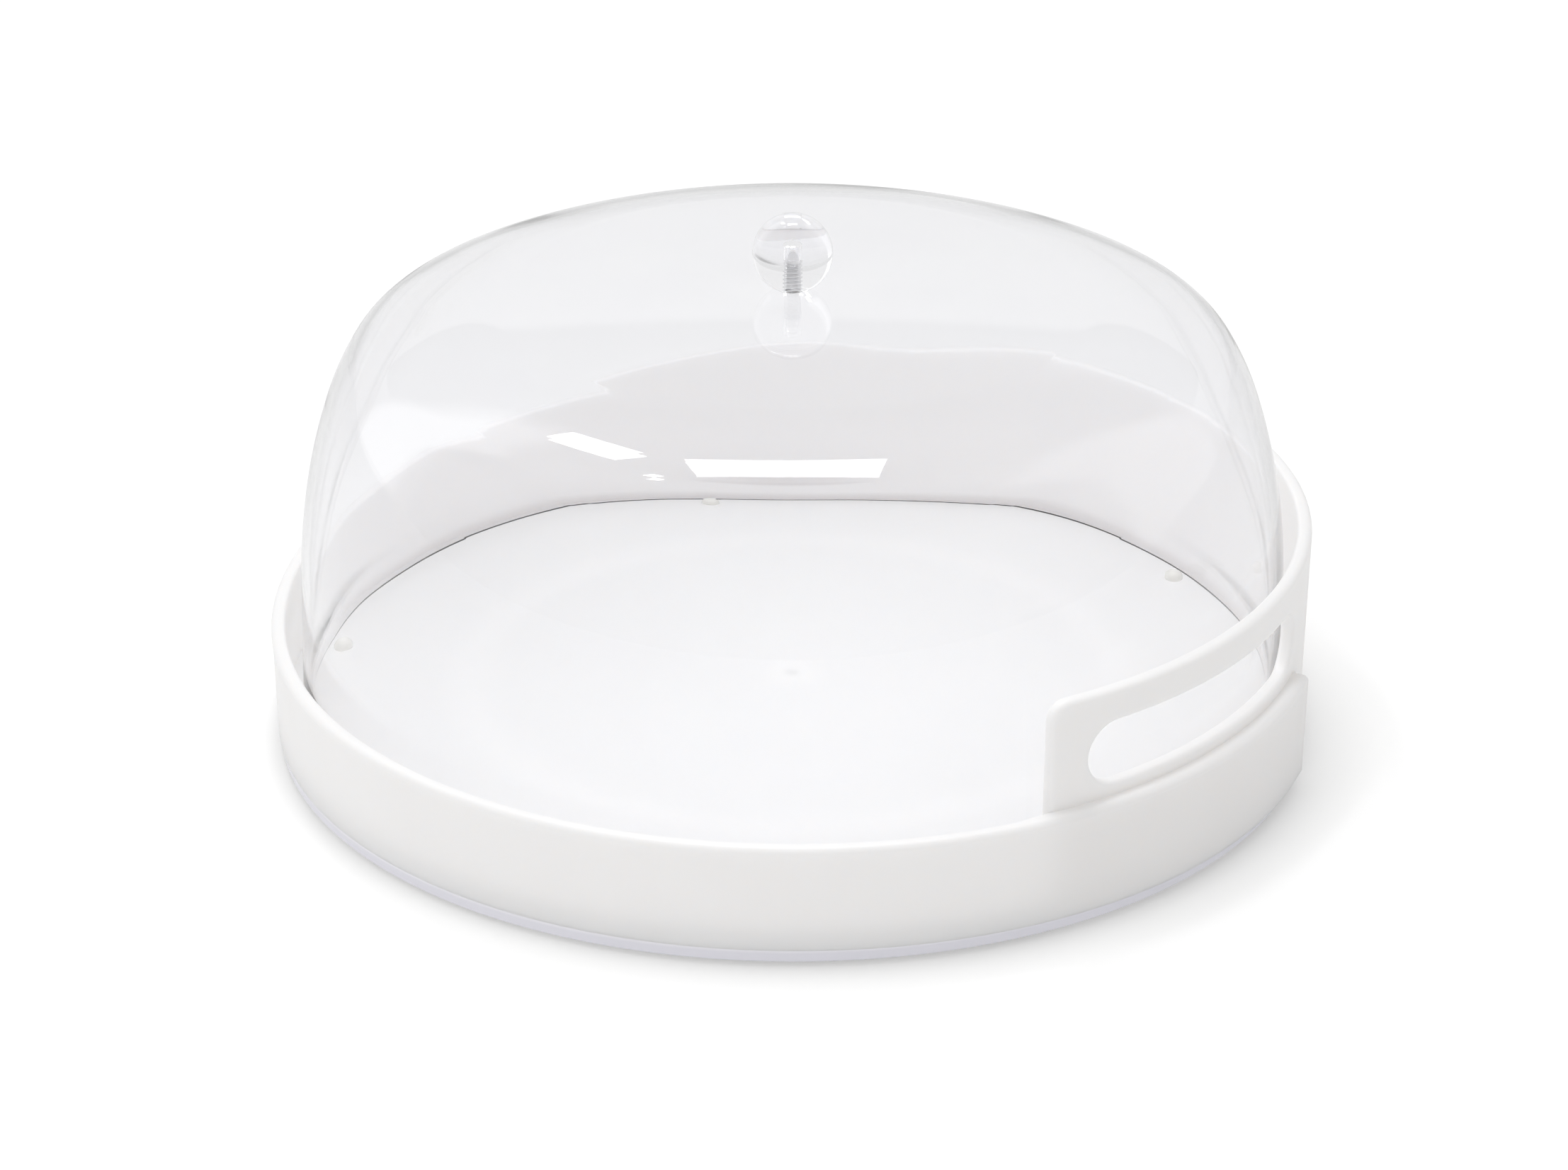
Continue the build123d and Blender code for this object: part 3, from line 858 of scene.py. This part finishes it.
class TURNTABLE_OT_dome(bpy.types.Operator):
    """Add the clear dome: a thin moulded shell with a thicker band at its foot"""

    bl_idname = "turntable.dome"
    bl_label = "Dome"

    def execute(self, context):
        dome, colours = context.scene.tt_dome, context.scene.tt_colours
        hole = (stud_high.x - stud_low.x) / 2 + dome.stud_clearance
        outer = dome_outline(dome, 0.0)
        inner = dome_outline(dome, dome.wall)
        band = dome_outline(dome, dome.wall + dome.band_extra)
        foot, r = dome_low.z, dome.foot_round
        band_top = foot + dome.band_height
        band_end = band_top + dome.band_step
        lean = tan(dome.side_draft)
        out_edge, in_edge = outer[0][0], band[0][0]
        section = [(in_edge + r, foot), *ring_corner(out_edge, foot, r, -90.0, 22.5)]
        section += [p for p in outer[1:] if p[0] > hole]
        section += [(hole, outer[-1][1]), (hole, inner[-1][1])]
        section += [p for p in reversed(inner) if p[0] > hole and p[1] > band_end]
        section += [
            (inner[0][0] - lean * (band_end - foot), band_end),
            (in_edge - lean * dome.band_height, band_top),
            (in_edge - lean * dome.band_height / 2, foot + dome.band_height / 2),
            *ring_corner(in_edge, foot, r, 180.0, 22.5),
        ]
        shell = lathe("dome", section, dome.steps)
        inside_from = dome.wall * 0.6
        even_to, even_below = hole * 1.5, foot + dome.band_height * 0.4
        foot_swell, swell_height = 5.0, 4 * dome.band_height
        for vertex in shell.data.vertices:
            x, y, z = vertex.co
            away = hypot(x, y)
            if away < even_to or z < even_below:
                continue
            nearest = min(outer, key=lambda p: hypot(p[0] - away, p[1] - z))
            if hypot(nearest[0] - away, nearest[1] - z) > inside_from:
                swell = 1.0 + foot_swell * (1.0 - ease((z - foot) / swell_height))
                wander = noise.noise(Vector((x, y, z)) / dome.ripple_size) * dome.ripple * swell
                vertex.co = Vector((x, y, z)) * (1.0 + wander / away)
        settle(shell)
        smooth(shell)
        acrylic = clear_plastic("clear acrylic", colours.acrylic, colours.acrylic_deep, ripple=0.02)
        tree = acrylic.node_tree
        socket = tree.nodes["Principled BSDF"].inputs["Base Color"]
        # Painted shade: the acrylic darkens towards its foot, standing in for the shaded gap between the
        # foot and the tray wall, and partly for the deeper look of the acrylic's edge
        foot_shade_start = foot + dome.foot_shade_height * 0.15
        edge = height_mask(tree, foot_shade_start, foot + dome.foot_shade_height)
        shaded_tone = mix_colours(tree, edge, colours.acrylic_foot_shade, WHITE)
        tree.links.new(multiply_colours(tree, shaded_tone, socket.links[0].from_socket), socket)
        finish_piece(shell, acrylic, "cover", "clear_acrylic", "dome")
        return {"FINISHED"}


class TURNTABLE_OT_knob(bpy.types.Operator):
    """Add the clear ball knob and the threaded stud that holds it"""

    bl_idname = "turntable.knob"
    bl_label = "Knob and stud"

    def execute(self, context):
        dome, colours = context.scene.tt_dome, context.scene.tt_colours
        radius = (knob_high.x - knob_low.x) / 2
        stud_radius = (stud_high.x - stud_low.x) / 2
        hole = stud_radius + dome.stud_clearance
        middle = knob_high.z - radius
        seat, pitch = knob_low.z, dome.thread_pitch
        hole_top = seat + dome.knob_hole_depth
        tip = hole_top + hole / tan(dome.knob_tip_angle)
        start = -degrees(acos(dome.knob_seat_radius / radius))
        grip = stud_radius - 1.5 * dome.thread_depth
        section = [
            (0.0, tip),
            (hole, hole_top),
            (hole, stud_high.z),
            (grip, stud_high.z - pitch),
            (grip, seat),
            (dome.knob_seat_radius, seat),
            *arc((0.0, middle), radius, start, 90.0, 2.5),
        ]
        section[-1] = (0.0, knob_high.z)
        ball = lathe("knob", section, steps=128)
        smooth(ball)
        acrylic = bpy.data.materials["clear acrylic"]
        finish_piece(ball, acrylic, "cover", "clear_acrylic", "knob")

        root = stud_radius - dome.thread_depth
        low = stud_low.z - 2 * pitch
        # One ridge of the thread: a radius, and how much of the pitch lies below it
        ridge = (
            (root, 0.0),
            (root, 0.12),
            (stud_radius - pitch * 0.02, 0.47),
            (stud_radius, 0.53),
            (root, 0.88),
            (root, 1.0),
        )
        stud = draw_line("knob_stud", [(r, 0, low + pitch * share) for r, share in ridge])
        bpy.ops.object.mode_set(mode="OBJECT")
        bpy.ops.object.transform_apply(location=True, rotation=False, scale=False)
        wind = stud.modifiers.new("Thread", "SCREW")
        wind.axis = "Z"
        wind.screw_offset = pitch
        wind.iterations = ceil((stud_high.z - stud_low.z) / pitch) + 4
        wind.steps = wind.render_steps = 40
        wind.use_merge_vertices = True
        bpy.ops.object.modifier_apply(modifier=wind.name)
        bpy.ops.object.mode_set(mode="EDIT")
        for level, up in ((stud_low.z, -1.0), (stud_high.z, 1.0)):
            bpy.ops.mesh.select_all(action="SELECT")
            bpy.ops.mesh.remove_doubles(threshold=TINY)
            bpy.ops.mesh.select_all(action="SELECT")
            bpy.ops.mesh.bisect(
                plane_co=(0, 0, level),
                plane_no=(0, 0, up),
                use_fill=True,
                clear_outer=True,
                threshold=TINY / 10,
            )
        settle(stud)
        smooth(stud, crease=30.0)
        steel = bright_metal("polished steel", colours.steel, roughness=(0.12, 0.22))
        finish_piece(stud, steel, "cover", "polished_steel", "knob_stud")
        return {"FINISHED"}


class TURNTABLE_OT_base(bpy.types.Operator):
    """Add the clear base with its rim, lower race and hub, and the feet under it"""

    bl_idname = "turntable.base"
    bl_label = "Base and feet"

    def execute(self, context):
        base, tray, colours = context.scene.tt_base, context.scene.tt_tray, context.scene.tt_colours
        edge, bottom = base_high.x, base_low.z
        top, rim_top, r = bottom + base.plate, bottom + base.rim_height, base.edge_round
        ball_level, reach, half_race = race_sizes(tray, base)
        lip = ball_level - reach + base.race_depth
        rim_in, step = edge - base.rim_width, 15.0
        section = [
            (base.pocket_radius, bottom),
            *ring_corner(edge, bottom, r, -90.0, step),
            *ring_corner(edge, rim_top, r, 0.0, step),
            *ring_corner(rim_in, rim_top, r, 90.0, step),
            (rim_in, top + r),
            *arc((rim_in - r, top + r), r, 0.0, -90.0, step),
            (tray.race_radius + half_race, top),
            (tray.race_radius + half_race, lip),
            *reversed(race_groove(ball_level, reach, tray.race_radius, lip)),
            (tray.race_radius - half_race, lip),
            (tray.race_radius - half_race, top),
            (base.hub_radius, top),
            (base.hub_radius, base_high.z),
            (base.hub_bore, base_high.z),
            (base.hub_bore, base.pocket_top),
            (base.pocket_radius, base.pocket_top),
            (base.pocket_radius, bottom),
        ]
        dish = lathe("base_dish", section, base.steps)
        places = island_places("rubber_feet")
        foot_radius = feet_high.x - max(x for x, _ in places)
        recess = foot_radius + base.foot_clearance
        below, roof = bottom - (feet_high.z - feet_low.z) / 2, bottom + base.foot_recess
        hollow = lathe("hollow", [(0, below), (recess, below), (recess, roof), (0, roof)], steps=48)
        boolean(dish, join("recesses", copies_at(hollow, places)), "DIFFERENCE")
        settle(dish)
        smooth(dish)
        # The base gets a painted glow, and painted shade towards its plate
        clear = painted_glow_plastic("clear base", colours.base_clear, colours.base_plate_tint_and_shade, top, rim_top)
        finish_piece(dish, clear, "base", "clear_acrylic", "base_dish")

        soft, under = base.small_round, feet_low.z
        # A groove round the foot's underside: a share of its radius, and a depth
        groove = (0.7, 0.0), (0.75, soft), (0.82, soft), (0.86, 0.0)
        pad = [(0.0, under), *((foot_radius * share, under + depth) for share, depth in groove)]
        pad += ring_corner(foot_radius, under, soft, -90.0, 22.5)
        pad += [(foot_radius, feet_high.z), (0.0, feet_high.z)]
        feet = join("rubber_feet", copies_at(lathe("foot", pad, steps=48), places))
        smooth(feet)
        shade = darker(colours.rubber, 0.8)
        rubber = moulded_plastic("soft rubber", colours.rubber, shade, roughness=(0.6, 0.8), grain=0.3)
        finish_piece(feet, rubber, "base", "soft_rubber", "rubber_feet")
        return {"FINISHED"}


class TURNTABLE_OT_bearing(bpy.types.Operator):
    """Add the balls and their cage, and the washer and screw of the pivot"""

    bl_idname = "turntable.bearing"
    bl_label = "Bearing and pivot"

    def execute(self, context):
        base, tray, colours = context.scene.tt_base, context.scene.tt_tray, context.scene.tt_colours
        places = island_places("bearing_balls")
        level = (ball_low.z + ball_high.z) / 2
        half = arc((0.0, level), base.ball_radius, -90.0, 90.0, 9.0)
        half[-1] = (0.0, level + base.ball_radius)
        model = lathe("ball", [(0.0, level - base.ball_radius), *half], steps=28)
        balls = join("bearing_balls", copies_at(model, places))
        smooth(balls, crease=60.0)
        steel = bpy.data.materials["polished steel"]
        finish_piece(balls, steel, "bearing", "polished_steel", "bearing_balls")

        step, r, low, high = 30.0, base.small_round, cage_low.z, cage_high.z
        near, far = tray.race_radius - base.cage_width / 2, tray.race_radius + base.cage_width / 2
        section = [
            (near + r, low),
            *ring_corner(far, low, r, -90.0, step),
            *ring_corner(far, high, r, 0.0, step),
            *ring_corner(near, high, r, 90.0, step),
            *ring_corner(near, low, r, 180.0, step),
        ]
        cage = lathe("ball_cage", section, steps=144)
        pocket = base.ball_radius + base.cage_pocket_gap
        thick = high - low
        drill = [(0, low - thick), (pocket, low - thick), (pocket, high + thick), (0, high + thick)]
        boolean(cage, join("pockets", copies_at(lathe("drill", drill, steps=40), places)), "DIFFERENCE")
        settle(cage)
        smooth(cage)
        shade = darker(colours.nylon, 0.94)
        nylon = moulded_plastic("white nylon", colours.nylon, shade, roughness=(0.4, 0.5), grain=0.1)
        finish_piece(cage, nylon, "bearing", "white_nylon", "ball_cage")

        zinc = bright_metal("zinc steel", colours.zinc, roughness=(0.28, 0.42))
        hole, edge, r = base.screw_radius + base.washer_gap, washer_high.x, base.small_round / 2
        low, high = washer_low.z, washer_high.z
        rounded = [*ring_corner(edge, low, r, -90.0, step), *ring_corner(edge, high, r, 0.0, step)]
        washer = lathe("pivot_washer", [(hole, low), *rounded, (hole, high), (hole, low)], steps=64)
        smooth(washer)
        finish_piece(washer, zinc, "turntable", "zinc_steel", "pivot_washer")

        head, low, high = screw_high.x, screw_low.z, screw_high.z
        under = low + base.screw_head_height
        r, point = base.screw_head_height * 0.5, base.screw_radius * 0.4
        section = [
            (0.0, low),
            *ring_corner(head, low, r, -90.0, 15.0),
            (head, under),
            (base.screw_radius, under),
            (base.screw_radius, high - r),
            (point, high),
            (0.0, high),
        ]
        screw = lathe("pivot_screw", section, steps=48)
        arms = []
        for turn in (0.0, pi / 2):
            deselect()
            bpy.ops.mesh.primitive_cube_add(size=1.0, location=(0.0, 0.0, low), rotation=(0.0, 0.0, turn))
            arm = bpy.context.object
            arm.scale = (2 * base.cross_reach, base.cross_width, 2 * base.cross_depth)
            bpy.ops.object.transform_apply(location=True, rotation=True, scale=True)
            arms.append(arm)
        for arm in arms:
            boolean(screw, arm, "DIFFERENCE")
        settle(screw)
        smooth(screw)
        finish_piece(screw, zinc, "turntable", "zinc_steel", "pivot_screw")
        return {"FINISHED"}


class TURNTABLE_OT_bumpers(bpy.types.Operator):
    """Add the soft clear bumpers on the tray's floor, inside the dome's foot"""

    bl_idname = "turntable.bumpers"
    bl_label = "Bumpers"

    def execute(self, context):
        colours = context.scene.tt_colours
        places = island_places("floor_bumpers")
        radius = bumper_high.x - max(x for x, _ in places)
        low, high = bumper_low.z, bumper_high.z
        tall = high - low
        round_top = tall * 0.8
        shoulder = radius - round_top
        foot, bulge = radius * 0.97, low + tall * 0.06
        waist, waist_level = radius * 0.985, low + tall * 0.2
        section = [(0.0, low), (foot, low), (radius, bulge), (waist, waist_level)]
        for turn in (radians(90.0 * i / 9) for i in range(1, 10)):
            section.append((shoulder + (waist - shoulder) * cos(turn), waist_level + round_top * sin(turn)))
        section += [(0.0, high)]
        studs = join("floor_bumpers", copies_at(lathe("bumper", section, steps=40), places))
        smooth(studs, crease=50.0)
        deep = darker(colours.silicone, 0.95)
        silicone = clear_plastic("clear silicone", colours.silicone, deep, ripple=0.02)
        silicone.node_tree.nodes["Principled BSDF"].inputs["Transmission Weight"].default_value = 0.35
        finish_piece(studs, silicone, "turntable", "clear_silicone", "floor_bumpers")
        return {"FINISHED"}


def lamp(name, place, target, size, power, shown):
    """A soft rectangular lamp at a place, turned to a target, which may be hidden from view."""
    deselect()
    bpy.ops.object.light_add(type="AREA", location=place)
    light = bpy.context.object
    light.name = light.data.name = name
    light.data.shape = "RECTANGLE"
    light.data.size, light.data.size_y = size
    light.data.energy = power
    light.rotation_euler = (Vector(target) - Vector(place)).to_track_quat("-Z", "Y").to_euler()
    if not shown:
        light.visible_camera = light.visible_glossy = light.visible_transmission = False


def studio_world(scene, stage):
    """A world that is white to the camera, soft light to matt surfaces and screens to glass and metal."""
    world = bpy.data.worlds.new("studio")
    scene.world = world
    world.use_nodes = True
    tree = world.node_tree
    sky = tree.nodes["Background"]
    sky.inputs["Color"].default_value = (*WHITE, 1.0)
    place = tree.nodes.new("ShaderNodeTexCoord")
    split = tree.nodes.new("ShaderNodeSeparateXYZ")
    tree.links.new(place.outputs["Generated"], split.inputs["Vector"])
    sideways, height = split.outputs["X"], split.outputs["Z"]
    glow = ramp(tree, height, *GLOW_FADE, stage.sky_low_light, stage.sky_light)
    screens = (
        (BACKDROP_EDGES, stage.backdrop_light),
        (LEFT_EDGES, stage.left_light),
        (RIGHT_EDGES, stage.right_light),
    )
    for edges, strength in screens:
        fades = [ramp(tree, split.outputs[axis], dark, bright, 0.0, 1.0) for axis, dark, bright in edges]
        glow = maths(tree, "MAXIMUM", glow, product(tree, *fades, strength))
    across = ramp(tree, sideways, -1.0, 1.0, stage.fill_left, stage.fill_right)
    fill = product(tree, across, ramp(tree, height, *FILL_FADE, stage.fill_low, stage.fill_high))
    path = tree.nodes.new("ShaderNodeLightPath")
    bounced = path.outputs["Is Diffuse Ray"]
    refracted = product(tree, path.outputs["Is Transmission Ray"], stage.refracted_light)
    glow = maths(tree, "MAXIMUM", glow, refracted)
    lit = product(tree, fill, bounced)
    shown = product(tree, glow, maths(tree, "SUBTRACT", 1.0, bounced))
    seen = maths(tree, "MAXIMUM", maths(tree, "ADD", lit, shown), path.outputs["Is Camera Ray"])
    tree.links.new(seen, sky.inputs["Strength"])


class TURNTABLE_OT_stage(bpy.types.Operator):
    """Add the white floor, the studio light and the camera"""

    bl_idname = "turntable.stage"
    bl_label = "Stage"

    def execute(self, context):
        stage = context.scene.tt_stage
        scene = context.scene
        deselect()
        bpy.ops.mesh.primitive_plane_add(size=stage.floor_size, location=(0.0, 0.0, 0.0))
        floor = bpy.context.object
        floor.name = floor.data.name = "floor"
        material, tree, shader, output = new_material("studio floor")
        shader.inputs["Base Color"].default_value = (*stage.floor_white, 1.0)
        shader.inputs["Roughness"].default_value = 0.9
        shader.inputs["Specular IOR Level"].default_value = 0.0
        glow = tree.nodes.new("ShaderNodeEmission")
        path = tree.nodes.new("ShaderNodeLightPath")
        mirrored = maths(tree, "MAXIMUM", path.outputs["Is Glossy Ray"], path.outputs["Is Transmission Ray"])
        seen = product(tree, path.outputs["Is Camera Ray"], stage.floor_lift)
        lift = maths(tree, "MAXIMUM", seen, product(tree, mirrored, stage.floor_lift_in_glass))
        tree.links.new(lift, glow.inputs["Strength"])
        both = tree.nodes.new("ShaderNodeAddShader")
        tree.links.new(shader.outputs["BSDF"], both.inputs[0])
        tree.links.new(glow.outputs["Emission"], both.inputs[1])
        tree.links.new(both.outputs["Shader"], output.inputs["Surface"])
        floor.data.materials.append(material)

        studio_world(scene, stage)

        for settings in LAMPS:
            lamp(*settings)

        deselect()
        up, back = sin(stage.camera_elevation), cos(stage.camera_elevation)
        target = Vector(stage.target)
        place = target + stage.camera_distance * Vector((0.0, -back, up))
        bpy.ops.object.camera_add(location=place, rotation=(pi / 2 - stage.camera_elevation, 0.0, 0.0))
        camera = bpy.context.object
        camera.name = camera.data.name = "camera"
        camera.data.sensor_fit = "HORIZONTAL"
        camera.data.sensor_width = SENSOR_WIDTH
        camera.data.lens = stage.lens
        camera.data.clip_start, camera.data.clip_end = 0.01, 100.0
        scene.camera = camera
        scene.view_settings.view_transform = "Standard"
        return {"FINISHED"}


class TURNTABLE_PT_panel(bpy.types.Panel):
    """Buttons for the pieces of the covered lazy susan"""

    bl_idname = "TURNTABLE_PT_panel"
    bl_label = "Covered lazy susan"
    bl_space_type = "VIEW_3D"
    bl_region_type = "UI"
    bl_category = SIDEBAR_TAB

    def draw(self, context):
        for operator in OPERATORS:
            self.layout.operator(operator.bl_idname)


GROUPS = {
    "tt_tray": TraySizes,
    "tt_dome": DomeSizes,
    "tt_base": BaseSizes,
    "tt_colours": FinishColours,
    "tt_stage": StageSettings,
}
OPERATORS = (
    TURNTABLE_OT_tray,
    TURNTABLE_OT_dome,
    TURNTABLE_OT_knob,
    TURNTABLE_OT_base,
    TURNTABLE_OT_bearing,
    TURNTABLE_OT_bumpers,
    TURNTABLE_OT_stage,
)


def register():
    """Register the settings, the operators and the panel."""
    for name, group in GROUPS.items():
        bpy.utils.register_class(group)
        setattr(bpy.types.Scene, name, PointerProperty(type=group))
    for operator in OPERATORS:
        bpy.utils.register_class(operator)
    bpy.utils.register_class(TURNTABLE_PT_panel)


def unregister():
    """Remove what register added."""
    bpy.utils.unregister_class(TURNTABLE_PT_panel)
    for operator in reversed(OPERATORS):
        bpy.utils.unregister_class(operator)
    for name, group in GROUPS.items():
        delattr(bpy.types.Scene, name)
        bpy.utils.unregister_class(group)


def main():
    """Make every piece and the stage."""
    register()
    bpy.ops.turntable.tray()
    bpy.ops.turntable.dome()
    bpy.ops.turntable.knob()
    bpy.ops.turntable.base()
    bpy.ops.turntable.bearing()
    bpy.ops.turntable.bumpers()
    bpy.ops.turntable.stage()


if __name__ == "__main__":
    main()
